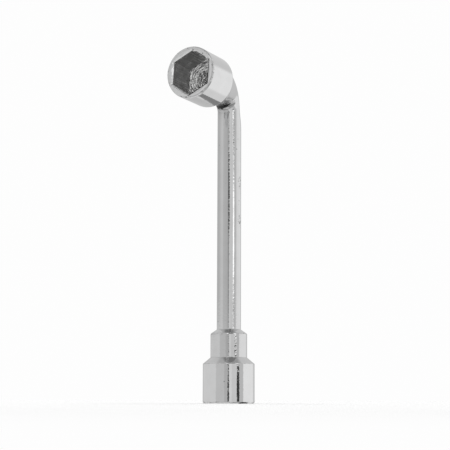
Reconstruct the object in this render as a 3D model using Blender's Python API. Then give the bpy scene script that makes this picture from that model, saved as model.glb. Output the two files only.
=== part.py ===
# Angled tube wrench: a bent forged shank with a short hexagon tube welded on at each end.
# The long end socket stands on its mouth at z = 0, the shank runs up along +Z,
# and the angled end socket looks along -Y. The origin is under the middle of the whole wrench.
import math

import bmesh
import bpy
from mathutils import Matrix, Vector

# Driving dimensions, in metres and radians

# Hexagon sockets, alike at both ends but for their length
NUT_ACROSS_FLATS = 0.0190
NUT_CLEARANCE = 0.0001
CORNER_WALL = 0.00187
LONG_SOCKET_LENGTH = 0.0195
ANGLED_SOCKET_LENGTH = 0.0205
HEXAGON_DEPTH = 0.0170
FLOOR_DISH_DIAMETER = 0.0180
FLOOR_DISH_DEPTH = 0.0016
MOUTH_EDGE_RADIUS = 0.0009
MOUTH_LEAD_IN = 0.0007
ANGLED_HEXAGON_TURN = math.radians(4)

# Bent shank
SHANK_DIAMETER = 0.0121
SHANK_LENGTH = 0.10185
BEND_RADIUS = 0.0202
BEND_ANGLE = math.radians(90)
STEM_LENGTH = 0.0012
CREASE_ROUNDING = 0.0042

# Flare behind the angled end socket: a short cone and a long taper, measured back from the shoulder,
# whose line sinks a little towards the shank
FLARE_CONE_LENGTH = 0.0042
FLARE_CONE_END_DIAMETER = 0.0207
FLARE_CONE_BLEND_RADIUS = 0.0080
TAPER_LENGTH = 0.0256
TAPER_BLEND_RADIUS = 0.0200
FLARE_TILT = math.radians(2.86)

# Stepped neck between the shank and the long end socket
NECK_DIAMETER = 0.0183
NECK_LENGTH = 0.0118
NECK_CONE_HEIGHT = 0.0021
SHOULDER_CONE_HEIGHT = 0.0031
NECK_EDGE_RADIUS = 0.0010
NECK_FOOT_RADIUS = 0.0004

# Weld rings, dressed flush round both shoulders
WELD_DEPTH = 0.00094
SHOULDER_EDGE_RADIUS = 0.00095

# Fits
JOINT_GAP = 0.0003

# Fineness of the round faces
ROUND_STEPS = 48
BEND_STEPS = 30
CORNER_STEPS = 4
HALVINGS = 30

# Chromium plate
CHROME_COLOUR = (0.70, 0.71, 0.72, 1.0)
SHANK_ROUGHNESS = 0.14
SOCKET_ROUGHNESS = 0.10
WELD_ROUGHNESS = 0.16

# Sizes that follow from the driving dimensions
HEXAGON_APOTHEM = (NUT_ACROSS_FLATS + NUT_CLEARANCE) / 2
HEXAGON_SIDES = 6
CORNER_PER_APOTHEM = 1 / math.cos(math.pi / HEXAGON_SIDES)
SOCKET_RADIUS = HEXAGON_APOTHEM * CORNER_PER_APOTHEM + CORNER_WALL
SHANK_RADIUS = SHANK_DIAMETER / 2
NECK_RADIUS = NECK_DIAMETER / 2
FLARE_CONE_END_RADIUS = FLARE_CONE_END_DIAMETER / 2
PLUG_APOTHEM = HEXAGON_APOTHEM - JOINT_GAP
PLUG_ROOT = (LONG_SOCKET_LENGTH - HEXAGON_DEPTH) / 2
GROOVE_GAP = JOINT_GAP * math.sqrt(2)
BUTT_GAP = JOINT_GAP / 2
LAND_RADIUS = SOCKET_RADIUS - WELD_DEPTH + BUTT_GAP - GROOVE_GAP

# Distances along the centre line, from the long end's shoulder to the angled end's shoulder
NECK_START = SHOULDER_CONE_HEIGHT
NECK_END = NECK_START + NECK_LENGTH
SHANK_START = NECK_END + NECK_CONE_HEIGHT
BEND_START = SHANK_START + SHANK_LENGTH
BEND_END = BEND_START + BEND_RADIUS * BEND_ANGLE
LINE_END = BEND_END + STEM_LENGTH

# Fall of the shank's radius per length, next to each shoulder
LONG_END_FALL = (SOCKET_RADIUS - NECK_RADIUS) / SHOULDER_CONE_HEIGHT
ANGLED_END_FALL = (SOCKET_RADIUS - FLARE_CONE_END_RADIUS) / FLARE_CONE_LENGTH


def clear_scene():
    for item in list(bpy.data.objects):
        bpy.data.objects.remove(item, do_unlink=True)


def chrome(name, roughness):
    material = bpy.data.materials.new(name)
    material.use_nodes = True
    shader = material.node_tree.nodes["Principled BSDF"]
    shader.inputs["Base Color"].default_value = CHROME_COLOUR
    shader.inputs["Metallic"].default_value = 1.0
    shader.inputs["Roughness"].default_value = roughness
    return material


def empty(name, matrix, parent=None):
    holder = bpy.data.objects.new(name, None)
    bpy.context.collection.objects.link(holder)
    holder.parent = parent
    holder.matrix_local = matrix
    return holder


def place(name, mesh, parent, material=None):
    item = bpy.data.objects.new(name, mesh)
    bpy.context.collection.objects.link(item)
    item.parent = parent
    if material:
        mesh.materials.clear()
        mesh.materials.append(material)
    return item


def as_tool(item):
    item.hide_render = True
    item.display_type = 'WIRE'
    return item


def boolean(item, tool, operation):
    modifier = item.modifiers.new(tool.name, 'BOOLEAN')
    modifier.operation = operation
    modifier.solver = 'EXACT'
    modifier.object = tool


def finished_mesh(bm, name):
    bmesh.ops.recalc_face_normals(bm, faces=bm.faces)
    mesh = bpy.data.meshes.new(name)
    bm.to_mesh(mesh)
    bm.free()
    mesh.shade_smooth()
    mesh.set_sharp_from_angle(angle=math.radians(30))
    return mesh


def rounded(corners):
    """An outline through (along, radius, rounding) corners, with each rounding as an arc.

    A rounding that its neighbouring stretches have no room for is made smaller."""
    points = [Vector(corners[0][:2])]
    for before, corner, after in zip(corners, corners[1:], corners[2:]):
        middle = Vector(corner[:2])
        back = Vector(before[:2]) - middle
        ahead = Vector(after[:2]) - middle
        turn = math.pi - back.angle(ahead)
        room = min(back.length, ahead.length) / 2
        reach = min(corner[2] * math.tan(turn / 2), room)
        if reach == 0:
            points.append(middle)
            continue
        start = middle + back.normalized() * reach
        end = middle + ahead.normalized() * reach
        inward = (back.normalized() + ahead.normalized()).normalized()
        radius = reach / math.tan(turn / 2)
        centre = middle + inward * math.hypot(reach, radius)
        sweep = (start - centre).angle_signed(end - centre)
        for step in range(CORNER_STEPS + 1):
            spoke = start - centre
            spoke.rotate(Matrix.Rotation(-sweep * step / CORNER_STEPS, 2))
            points.append(centre + spoke)
    points.append(Vector(corners[-1][:2]))
    return points


def turned(name, outline, closed):
    """A lathe piece about Z from (height, radius) points."""
    bm = bmesh.new()
    verts = [bm.verts.new((radius, 0, height)) for height, radius in outline]
    edges = [bm.edges.new(pair) for pair in zip(verts, verts[1:])]
    if closed:
        edges.append(bm.edges.new((verts[-1], verts[0])))
    bmesh.ops.spin(bm, geom=verts + edges, cent=(0, 0, 0), axis=(0, 0, 1), angle=math.tau, steps=ROUND_STEPS)
    bmesh.ops.remove_doubles(bm, verts=bm.verts, dist=JOINT_GAP / 100)
    return finished_mesh(bm, name)


def skinned(name, rings):
    """A closed body over a row of rings that have the same number of points."""
    bm = bmesh.new()
    loops = []
    for ring in rings:
        verts = [bm.verts.new(point) for point in ring]
        loops.append([bm.edges.new(pair) for pair in zip(verts, verts[1:] + verts[:1])])
    for low, high in zip(loops, loops[1:]):
        bmesh.ops.bridge_loops(bm, edges=low + high)
    bmesh.ops.holes_fill(bm, edges=loops[0] + loops[-1], sides=0)
    return finished_mesh(bm, name)


def ring(matrix, radius, count, turn=0.0):
    angles = [turn + math.tau * step / count for step in range(count)]
    return [matrix @ Vector((radius * math.cos(a), radius * math.sin(a), 0)) for a in angles]


def hexagon_ring(height, apothem):
    corner_along_y = math.pi / 2
    radius = apothem * CORNER_PER_APOTHEM
    return ring(Matrix.Translation((0, 0, height)), radius, HEXAGON_SIDES, corner_along_y)


def line_frame(along):
    """Place and heading of the shank's centre line, heading along its own Z."""
    turn = min(max((along - BEND_START) / BEND_RADIUS, 0), BEND_ANGLE)
    straight = min(along, BEND_START)
    beyond = max(along - BEND_END, 0)
    heading = Matrix.Rotation(turn, 4, 'X')
    point = Vector((0, -BEND_RADIUS * (1 - math.cos(turn)), straight + BEND_RADIUS * math.sin(turn)))
    point += heading @ Vector((0, 0, beyond))
    return Matrix.Translation(point + Vector((0, 0, LONG_SOCKET_LENGTH))) @ heading


def shank_outline():
    """Radius along the centre line, between the two weld grooves."""
    long_groove = (WELD_DEPTH + GROOVE_GAP) / (1 + LONG_END_FALL)
    angled_groove = (WELD_DEPTH + GROOVE_GAP) / (1 + ANGLED_END_FALL)
    corners = [
        (BUTT_GAP, LAND_RADIUS, 0),
        (long_groove, SOCKET_RADIUS - long_groove * LONG_END_FALL, 0),
        (NECK_START, NECK_RADIUS, NECK_FOOT_RADIUS),
        (NECK_END, NECK_RADIUS, NECK_EDGE_RADIUS),
        (SHANK_START, SHANK_RADIUS, NECK_FOOT_RADIUS),
        (LINE_END - TAPER_LENGTH, SHANK_RADIUS, TAPER_BLEND_RADIUS),
        (LINE_END - FLARE_CONE_LENGTH, FLARE_CONE_END_RADIUS, FLARE_CONE_BLEND_RADIUS),
        (LINE_END - angled_groove, SOCKET_RADIUS - angled_groove * ANGLED_END_FALL, 0),
        (LINE_END - BUTT_GAP, LAND_RADIUS, 0),
    ]
    return rounded(corners)


def radius_at(outline, along):
    """The radius that an outline gives at a distance along it."""
    if along <= outline[0].x:
        return outline[0].y
    for before, after in zip(outline, outline[1:]):
        if along <= after.x:
            return before.lerp(after, (along - before.x) / (after.x - before.x)).y
    return outline[-1].y


def shank_stations(outline):
    """The outline's own points, with more of them round the bend."""
    bend = [BEND_START + (BEND_END - BEND_START) * step / BEND_STEPS for step in range(BEND_STEPS + 1)]
    stations = [(point.x, point.y) for point in outline]
    for along in bend:
        if min(abs(along - point.x) for point in outline) > JOINT_GAP:
            stations.append((along, radius_at(outline, along)))
    return sorted(stations)


def elbow_depth(point, out, radius, outline):
    """How deep a point lies in the elbow, below zero outside it.

    The upright bar and the flare meet in a rounded crease at the inside of the bend,
    and the sweep round the bend, of the given radius, bounds them on the outside."""
    bar = SHANK_RADIUS - math.hypot(point.x, point.y)
    from_shoulder = line_frame(LINE_END).inverted() @ point
    flare_radius = radius_at(outline, LINE_END + from_shoulder.z)
    sunk = math.tan(FLARE_TILT) * max(-from_shoulder.z - STEM_LENGTH, 0)
    flare = flare_radius - math.hypot(from_shoulder.x, from_shoulder.y + sunk)
    share = min(max(0.5 + 0.5 * (bar - flare) / CREASE_ROUNDING, 0), 1)
    joined = flare + (bar - flare) * share + CREASE_ROUNDING * share * (1 - share)
    return min(joined, radius - math.hypot(point.x, max(out, 0)))


def elbow_ring(along, radius, outline):
    """A section of the elbow, round on the outside of the bend and drawn in at the crease."""
    matrix = line_frame(along)

    def edge(middle, angle):
        inside, outside = 0, 2 * radius
        for _ in range(HALVINGS):
            tried = (inside + outside) / 2
            spot = Vector((tried * math.cos(angle), middle + tried * math.sin(angle), 0))
            if elbow_depth(matrix @ spot, spot.y, radius, outline) > 0:
                inside = tried
            else:
                outside = tried
        return Vector((inside * math.cos(angle), middle + inside * math.sin(angle), 0))

    middle = (edge(0, math.pi / 2).y + edge(0, -math.pi / 2).y) / 2
    angles = [math.tau * step / ROUND_STEPS for step in range(ROUND_STEPS)]
    return [matrix @ edge(middle, angle) for angle in angles]


def hexagon_plug(name, parent, length):
    """The hexagon stub that keys the shank into a socket and forms the socket's floor."""
    rooted = length + PLUG_ROOT
    mesh = skinned(name, [hexagon_ring(HEXAGON_DEPTH, PLUG_APOTHEM), hexagon_ring(rooted, PLUG_APOTHEM)])
    return as_tool(place(name, mesh, parent))


def floor_dish(name, parent):
    """The shallow cone that the drill leaves in a socket's floor."""
    widening = 1 + JOINT_GAP / FLOOR_DISH_DEPTH
    mesh = turned(name, [
        (HEXAGON_DEPTH - JOINT_GAP, 0),
        (HEXAGON_DEPTH - JOINT_GAP, widening * FLOOR_DISH_DIAMETER / 2),
        (HEXAGON_DEPTH + FLOOR_DISH_DEPTH, 0),
    ], closed=False)
    return as_tool(place(name, mesh, parent))


def bent_shank(root, end_frames, lengths):
    outline = shank_outline()
    rings = []
    for along, radius in shank_stations(outline):
        if BEND_START < along < BEND_END:
            rings.append(elbow_ring(along, radius, outline))
        else:
            rings.append(ring(line_frame(along), radius, ROUND_STEPS))
    material = chrome("shank_chrome", SHANK_ROUGHNESS)
    shank = place("bent_shank", skinned("bent_shank", rings), root, material)
    for end, frame in end_frames.items():
        boolean(shank, hexagon_plug(end + "_hexagon_plug", frame, lengths[end]), 'UNION')
        boolean(shank, floor_dish(end + "_floor_dish", frame), 'DIFFERENCE')


def socket(end, frame, length):
    """A hexagon tube: mouth at z = 0 with a rounded rim, back edge bevelled for the weld."""
    bevel_start = length - WELD_DEPTH - GROOVE_GAP
    back = length - BUTT_GAP
    outline = rounded([
        (0, 0, 0),
        (0, SOCKET_RADIUS, MOUTH_EDGE_RADIUS),
        (bevel_start, SOCKET_RADIUS, 0),
        (back, LAND_RADIUS, 0),
        (back, 0, 0),
    ])
    name = end + "_socket"
    material = chrome(name + "_chrome", SOCKET_ROUGHNESS)
    body = place(name, turned(name, outline, closed=False), frame, material)
    rings = [
        hexagon_ring(-MOUTH_LEAD_IN, HEXAGON_APOTHEM + 2 * MOUTH_LEAD_IN),
        hexagon_ring(MOUTH_LEAD_IN, HEXAGON_APOTHEM),
        hexagon_ring(length + PLUG_ROOT, HEXAGON_APOTHEM),
    ]
    cutter_name = end + "_hexagon_cutter"
    boolean(body, as_tool(place(cutter_name, skinned(cutter_name, rings), frame)), 'DIFFERENCE')


def weld_ring(end, frame, length, fall):
    """Weld metal filling the groove round a shoulder, dressed flush with the tube and the shank."""
    reach = WELD_DEPTH / (1 + fall)
    outline = rounded([
        (length - WELD_DEPTH, SOCKET_RADIUS, 0),
        (length, SOCKET_RADIUS, SHOULDER_EDGE_RADIUS),
        (length + reach, SOCKET_RADIUS - reach * fall, 0),
    ])
    root = Vector((length, SOCKET_RADIUS - WELD_DEPTH))
    name = end + "_weld_ring"
    mesh = turned(name, outline + [root], closed=True)
    place(name, mesh, frame, chrome(name + "_chrome", WELD_ROUGHNESS))


def build():
    clear_scene()
    mouth = line_frame(LINE_END + ANGLED_SOCKET_LENGTH)
    front = mouth.translation.y - SOCKET_RADIUS * abs(math.cos(BEND_ANGLE))
    middle = (front + SOCKET_RADIUS) / 2
    root = empty("wrench", Matrix.Translation((0, -middle, 0)))
    facing_back = Matrix.Rotation(math.pi, 4, 'X')
    hexagon_turn = Matrix.Rotation(ANGLED_HEXAGON_TURN, 4, 'Z')
    end_frames = {
        "long_end": empty("long_end", Matrix.Identity(4), root),
        "angled_end": empty("angled_end", mouth @ facing_back @ hexagon_turn, root),
    }
    lengths = {"long_end": LONG_SOCKET_LENGTH, "angled_end": ANGLED_SOCKET_LENGTH}
    falls = {"long_end": LONG_END_FALL, "angled_end": ANGLED_END_FALL}
    bent_shank(root, end_frames, lengths)
    for end, frame in end_frames.items():
        socket(end, frame, lengths[end])
        weld_ring(end, frame, lengths[end], falls[end])
    bpy.context.view_layer.update()


build()
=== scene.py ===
import math

import bmesh
import bpy
import numpy
from mathutils import Matrix, Vector


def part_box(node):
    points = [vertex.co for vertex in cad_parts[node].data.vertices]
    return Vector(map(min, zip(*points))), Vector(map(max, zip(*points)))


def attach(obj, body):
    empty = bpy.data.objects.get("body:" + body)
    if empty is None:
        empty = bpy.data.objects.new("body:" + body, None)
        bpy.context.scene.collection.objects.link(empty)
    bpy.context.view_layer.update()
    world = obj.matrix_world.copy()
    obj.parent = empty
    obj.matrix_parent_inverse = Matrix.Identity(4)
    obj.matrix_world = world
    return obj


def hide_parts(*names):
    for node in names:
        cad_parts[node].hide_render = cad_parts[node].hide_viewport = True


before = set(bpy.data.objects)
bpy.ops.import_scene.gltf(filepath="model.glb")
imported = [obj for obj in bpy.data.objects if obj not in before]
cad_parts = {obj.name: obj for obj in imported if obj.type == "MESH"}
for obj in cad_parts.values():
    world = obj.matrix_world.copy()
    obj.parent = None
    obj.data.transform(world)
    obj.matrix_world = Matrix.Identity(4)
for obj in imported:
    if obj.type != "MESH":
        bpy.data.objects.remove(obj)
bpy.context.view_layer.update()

# Sizes of the two sockets, which are alike but for their length
LONG_SOCKET_LOW, LONG_SOCKET_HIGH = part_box("long_end_socket")
ANGLED_SOCKET_LOW, ANGLED_SOCKET_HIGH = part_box("angled_end_socket")
SOCKET_RADIUS = (LONG_SOCKET_HIGH.x - LONG_SOCKET_LOW.x) / 2
SHANK_LINE_Y = (LONG_SOCKET_LOW.y + LONG_SOCKET_HIGH.y) / 2
HEAD_LINE_Z = (ANGLED_SOCKET_LOW.z + ANGLED_SOCKET_HIGH.z) / 2
LONG_SOCKET_LENGTH = 0.0195
ANGLED_SOCKET_LENGTH = 0.0205
MOUTH_EDGE_RADIUS = 0.0009
MOUTH_FACE_WIDTH = 3 * MOUTH_EDGE_RADIUS
MOUTH_LEAD_IN = 0.0007
MOUTH_LEAD_IN_WEAR = 0.7
HEXAGON_SIDES = 6
HEXAGON_APOTHEM = 0.00955
HEXAGON_DEPTH = 0.0170
HEXAGON_CORNER_RADIUS = 0.0004
HEXAGON_CORNER_BEARING = math.pi / 2
ANGLED_HEXAGON_TURN = math.radians(4)

# Sizes of the bent shank, with distances along its centre line from the long end's shoulder
SHANK_RADIUS = 0.00605
NECK_RADIUS = 0.00915
NECK_START = 0.0031
NECK_END = NECK_START + 0.0118
SHANK_START = NECK_END + 0.0021
BEND_START = SHANK_START + 0.10185
BEND_RADIUS = 0.0202
BEND_ANGLE = math.radians(90)
BEND_END = BEND_START + BEND_RADIUS * BEND_ANGLE
STEM_LENGTH = 0.0012
LINE_END = BEND_END + STEM_LENGTH
NECK_EDGE_RADIUS = 0.0010
NECK_FOOT_RADIUS = 0.0004
CREASE_ROUNDING = 0.0042
BACK_ROUNDING = 0.0010
BACK_ROUNDING_LEAST = BACK_ROUNDING / 1000

# Sizes of the flare behind the angled end's shoulder
FLARE_CONE_LENGTH = 0.0042
FLARE_CONE_END_RADIUS = 0.01035
FLARE_CONE_BLEND_RADIUS = 0.0080
TAPER_LENGTH = 0.0256
TAPER_BLEND_RADIUS = 0.0200
FLARE_DROP = math.tan(math.radians(2.86))

# Sizes of the dressed welds round the shoulders
WELD_DEPTH = 0.00094
WELD_ROOT_DEPTH = 2 * WELD_DEPTH
SHOULDER_EDGE_RADIUS = 0.00095
LONG_END_FALL = (SOCKET_RADIUS - NECK_RADIUS) / NECK_START
ANGLED_END_FALL = (SOCKET_RADIUS - FLARE_CONE_END_RADIUS) / FLARE_CONE_LENGTH

# Painted shade in the crease at the inside of the bend
CREASE_REACH = 0.0021
CREASE_LEAST_SHARE = 0.02
CREASE_SHIFT = 0.0010
CREASE_SLANT = 0.17
CREASE_MIDDLE = -0.0018
CREASE_HALF_WIDTH = 0.0064

# Painted shade on the underside of the flare, near the crease at the inside of the bend
FLARE_SHADE_TOP = -0.0056
FLARE_SHADE_FULL = -0.0090
FLARE_SHADE_REACH = 0.0130
FLARE_SHADE_FADE = 0.5
FLARE_SHADE_BELOW = 0.0006

# Dark mark low on the long end's rim
RIM_MARK_BEARING = math.radians(62.5)
RIM_MARK_HEIGHT = 0.0002
RIM_MARK_FLATTENING = 4.5
RIM_MARK_CORE = 0.0028
RIM_MARK_REACH = 0.0036
RIM_MARK_RAGGED = 0.0010

# Two patches on the shank's side where rust has pitted the plate
PITTED_HEIGHTS = (0.1106, 0.0914)
PITTED_CORE = 0.0009
PITTED_REACH = 0.0021
PITTED_FLATTENING = 0.55

# Drilled floor of a hexagon
FLOOR_CLEARANCE = 0.00004
FLOOR_EDGE_RADIUS = 0.0110
FLOOR_EDGE_RISE = 0.0004
FLOOR_EDGE_DEPTH = 0.0013
FLOOR_MIDDLE_RADIUS = 0.0060
FLOOR_MIDDLE_DEPTH = 0.0004
FLOOR_BACK_INSET = 0.0001
FLOOR_RING_PITCH = 0.0011
FLOOR_RING_HEIGHT = 0.00006
FLOOR_RING_WOBBLE = 0.0016
FLOOR_RING_SHARES = (0.2, 1.6)
FLOOR_DRIFT_SCALE = 0.3
FLOOR_DRIFT_LIMITS = (-0.12, 0.10)
FLOOR_GRAIN_SIZE = 0.0008
FLOOR_GRAIN_HEIGHT = 0.00010
FLOOR_STROKE_WIDTH = 0.00038
FLOOR_STROKE_HEIGHT = 0.00018
FLOOR_STROKES_PER_TURN = 2.6
NOISE_MIDDLE = 0.5

# Fineness of the meshes
ROUND_STEPS = 360
ROUND_ANGLES = [math.tau * step / ROUND_STEPS for step in range(ROUND_STEPS)]
ARC_STEPS = 8
ARC_GUARD = 0.00010
FLOOR_STEPS = 80
BEND_STEP = 0.00025
STRAIGHT_STEP = 0.0060
HALVINGS = 28
SHARP_ANGLE = math.radians(32)

# Chromium plate: grains as their number per metre and their detail, heights in metres, the rest as shares
SHANK_SHADE = 0.67
SOCKET_SHADE = 0.71
PLATE_TINT = (1.0, 1.003, 1.006)
PLATE_ROUGHNESS = (0.025, 0.07)
HAZY_SHADE = 0.95
WAVE_GRAIN = (55.0, 1.0)
SHANK_WAVE_HEIGHT = 0.00010
SOCKET_WAVE_HEIGHT = 0.00006
PEEL_GRAIN = (750.0, 2.0)
SHANK_PEEL_HEIGHT = 0.000026
LONG_END_PEEL_HEIGHT = 0.000028
ANGLED_END_PEEL_HEIGHT = 0.000020
POLISH_GRAIN = (1.0, 1.0)
POLISH_ALONG_Z = (1800.0, 1800.0, 60.0)
POLISH_AROUND_Z = (60.0, 60.0, 2400.0)
POLISH_AROUND_Y = (60.0, 2400.0, 60.0)
POLISH_HEIGHT = 0.0000012
TURNING_SCALE = 1300.0
TURNING_HEIGHT = 0.00008
PIT_CELL_SCALE = 260.0
PIT_CELL_LIMITS = (0.11, 0.06)
PIT_DEPTH = 0.00003
NICK_EDGE_LIMITS = (0.75, 0.95)
# Painted shade in the crease: its unevenness, its limits and its softer fringe; then the unevenness of the
# painted shade under the flare
CREASE_SHADE_UNEVENNESS = (0.75, 1.25)
CREASE_SHADE_LIMITS = (0.42, 0.66)
CREASE_SHADE_FRINGE_LIMITS = (0.06, 0.45)
CREASE_SHADE_FRINGE_MOST = 0.75
FLARE_SHADE_UNEVENNESS = (0.8, 1.2)
# Patchiness of each kind of wear and painted shade: number per metre, detail, and the limits between none
# and full
HAZE_GRAIN = (160.0, 4.0, 0.35, 0.75)
PIT_GRAIN = (90.0, 1.0, 0.52, 0.60)
RUST_HOLE_GRAIN = (1200.0, 1.0, 0.55, 0.60)
SCUFF_GRAIN = (700.0, 3.0, 0.45, 0.65)
NICK_GRAIN = (1000.0, 2.0, 0.61, 0.67)
CREASE_SHADE_GRAIN = (900.0, 2.0, 0.3, 0.7)
FLARE_SHADE_GRAIN = (600.0, 2.0, 0.3, 0.7)
# Wear, painted shade and the rim's dark mark, in the order in which they lie on the plate: kind, grey level
# and added roughness
PLATE_WEAR_AND_SHADE = (
    ("scuffs", 0.60, 0.16),
    ("nicks", 0.25, 0.0),
    ("pits", 0.20, 0.30),
    ("rim mark", 0.07, 0.0),
    ("crease_shade_fringe", 0.30, 0.0),
    ("flare_shade", 0.35, 0.22),
    ("crease_shade", 0.035, 0.25),
)

# Broached steel of the hexagon walls
BROACH_GRAIN = (1.0, 3.0)
BROACH_ALONG = 80.0
BROACH_ACROSS = 2600.0
BROACH_LINE_LIMITS = (0.44, 0.62)
BROACH_LINE_HEIGHT = 0.00004
BROACH_SHINE_GRAIN = (170.0, 2.0, 0.42, 0.62)
BROACH_SHINE = (0.15, 1.0)
BROACH_DARK = 0.47
BROACH_BRIGHT = 1.0
BLOOM_GRAIN = (300.0, 4.0)
BLOOM_LIMITS = (0.5, 0.8)
BLOOM_COLOUR = (0.42, 0.42, 0.415, 1.0)
BLOOM_ROUGHNESS_LIMITS = (0.3, 0.7)
BLOOM_ROUGHNESS = (0.38, 0.55)

# Torn steel of the hexagon floors
TEAR_GRAIN = (1500.0, 3.0)
TEAR_HEIGHT = 0.00006
TEAR_SHARE = 0.25
STROKE_SHARE = 0.75
HEART_LOSS = 0.10
TORN_LIMITS = (0.42, 0.54)
TORN_DARK = 0.16
TORN_BRIGHT = (0.98, 0.98, 0.97, 1.0)
TORN_PIT_GRAIN = (700.0, 3.0)
TORN_PIT_HEART = 0.12
TORN_PIT_LIMITS = (0.62, 0.70)
TORN_PIT_GREY = 0.08
TORN_ROUGHNESS_GRAIN = (420.0, 2.0, 0.35, 0.65)
TORN_ROUGHNESS = (0.18, 0.34)

# The photograph's camera, about the shank's centre line at the floor
CAMERA_DISTANCE = 0.599935
CAMERA_AZIMUTH = math.radians(27.187)
CAMERA_HEIGHT = 0.0040
CAMERA_PITCH = math.radians(8.092)
CAMERA_YAW = math.radians(-0.1995)
CAMERA_ROLL = math.radians(0.188)
CAMERA_FOCAL_PIXELS = 1198.09
CAMERA_CLIP_START = 0.01
PHOTO_PIXELS = 450
SENSOR_WIDTH = 36.0

# Pale floor with its even backdrop, and the lamp over it
BACKDROP_LEVEL = 0.985
STAGE_SHADOW_RADIUS = 0.22
STAGE_BACKDROP_RADIUS = 0.45
STAGE_HALF_WIDTH = 6.0
STAGE_GREYS = (0.93, 0.95)
STAGE_GRAIN = (40.0, 3.0, 0.3, 0.7)
LAMP_SPOT = (-0.1, 0.12, 1.6)
LAMP_AIM = (0, 0, 0.08)
LAMP_SIZE = 1.0
LAMP_WATTS = 11.6

# Brightness of the tent's walls by degrees to the right of the camera, low down and higher up
TENT_WALLS_LOW = (
    (-180, 0.62), (-157, 0.62), (-138, 0.79), (-59.5, 0.80), (-57.5, 0.67), (-21, 0.67), (-19, 0.57),
    (-4.5, 0.57), (3.5, 0.87), (12, 0.87), (15, 0.76), (37, 0.76),
    (50, 0.64), (66, 0.64), (68, 1.01), (132, 1.01), (142, 0.72), (160, 0.64), (180, 0.62),
)
TENT_WALLS_HIGH = (
    (-180, 0.64), (-157, 0.58), (-120, 0.60), (-98, 0.67), (-80, 0.75), (-61.5, 0.75), (-59.5, 0.65),
    (-36, 0.61), (-21, 0.60), (-19, 0.55), (-4.5, 0.52), (3.5, 0.80), (9, 0.86),
    (15, 0.76), (34, 0.84), (50, 0.66), (64, 0.62), (70, 0.80), (84, 0.97),
    (132, 1.00), (142, 0.72), (160, 0.64), (180, 0.64),
)
WALL_CHANGE = (2.5, 4.5)
# Brightness of the roof by degrees to the right of the camera, and the height where it starts
TENT_ROOF = (
    (-180, 0.72), (-22, 0.72), (-14, 0.75), (-12, 1.60), (-3, 1.60), (-1, 0.12), (30, 0.12), (35, 0.40),
    (37, 1.60), (47, 1.60), (50, 0.60), (70, 0.74), (180, 0.72),
)
ROOF_EDGES = (20, 28)
# Brightness of a dark ring high in the roof and of the crown over it, and where they start
TENT_RING = (
    (-180, 0.54), (-132, 0.54), (-128, 0.62), (-92, 0.62), (-62, 0.34), (96, 0.32),
    (116, 0.62), (130, 0.60), (134, 0.42), (150, 0.42), (165, 0.54), (180, 0.54),
)
RING_EDGES = (54, 66)
TENT_CROWN = 0.85
CROWN_EDGES = (80, 84)
# Brightness under the walls, and where it starts
TENT_GROUND = 0.84
GROUND_EDGES = (-24, -29)
# Where the lens slot and the gap in the right wall lie, in degrees to the right of the camera
LENS_SLOT = (-7.9, -6.2, -0.6, 0.8)
LOW_SLOT = (-5.6, -4.0, 0.4, 2.0)
HIGH_SLOT = (-10.0, -8.8, -0.6, 0.8)
WIDE_SLOT = (-10.0, -8.8, 4.5, 6.0)
WALL_GAP = (36.5, 38.5, 48.5, 50.5)
LOW_GAP = (35.4, 37.2, 46.8, 48.6)
# Softly edged patches: darkest and lightest level, degrees to the right of the camera and above the floor
TENT_PATCHES = (
    (0.82, 0.82, (-66, -62, -53, -49), (13.8, 14.3, 20, 26)),
    (0.42, 0.42, (-110, -100, 94, 104), (-38, -35, -26, -23)),
    (0.42, 0.42, (15, 25, 94, 104), (-80, -74, -37, -34)),
    (0.42, 0.42, (137, 141, 155, 160), (-24, -20, -14.5, -11.5)),
    (0.02, 0.14, LOW_SLOT, (-4.5, -3.5, 1.4, 1.8)),
    (0.58, 0.58, LENS_SLOT, (1.4, 1.8, 3.0, 3.4)),
    (0.35, 0.35, LENS_SLOT, (3.0, 3.4, 8.0, 8.6)),
    (0.02, 0.14, HIGH_SLOT, (8.0, 8.6, 11.6, 12.0)),
    (0.02, 0.12, WIDE_SLOT, (8.2, 8.6, 10.4, 10.8)),
    (0.78, 0.78, LENS_SLOT, (11.6, 12.0, 13.0, 13.3)),
    (0.60, 0.60, LENS_SLOT, (13.0, 13.3, 20, 24)),
    (0.02, 0.10, LOW_GAP, (-6.0, -3.5, 1.9, 2.4)),
    (1.60, 1.60, WALL_GAP, (2.2, 2.8, 9.8, 10.6)),
    (0.02, 1.20, WALL_GAP, (3.1, 3.3, 4.6, 5.4)),
    (0.25, 1.40, WALL_GAP, (10.0, 10.6, 12.4, 12.6)),
    (0.04, 0.04, WALL_GAP, (12.6, 12.7, 13.05, 13.2)),
    (1.50, 1.50, (30, 33, 43, 46), (13.05, 13.3, 17, 20)),
)
# Size in degrees of the tufts in the patches that have two levels, and their limits between dark and light
TUFT_WIDTH = 9.0
TUFT_HEIGHT = 0.20
TUFT_LIMITS = (0.44, 0.56)


# Node helpers

def feed(tree, socket, value):
    """A link into a socket from another socket, or else a plain value set on it."""
    if isinstance(value, bpy.types.NodeSocket):
        tree.links.new(value, socket)
    else:
        socket.default_value = value


def add(tree, kind, inputs=None, **settings):
    """A node with its settings made, its sockets set and its incoming links drawn."""
    node = tree.nodes.new(kind)
    for name, value in settings.items():
        setattr(node, name, value)
    for key, value in (inputs or {}).items():
        feed(tree, node.inputs[key], value)
    return node


def sums(tree, operation, first, second=None, clamp=False):
    """One sum on one or two values."""
    inputs = {0: first}
    if second is not None:
        inputs[1] = second
    return add(tree, "ShaderNodeMath", inputs, operation=operation, use_clamp=clamp).outputs[0]


def product(tree, first, second, clamp=False):
    """Two values multiplied."""
    return sums(tree, 'MULTIPLY', first, second, clamp)


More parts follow.
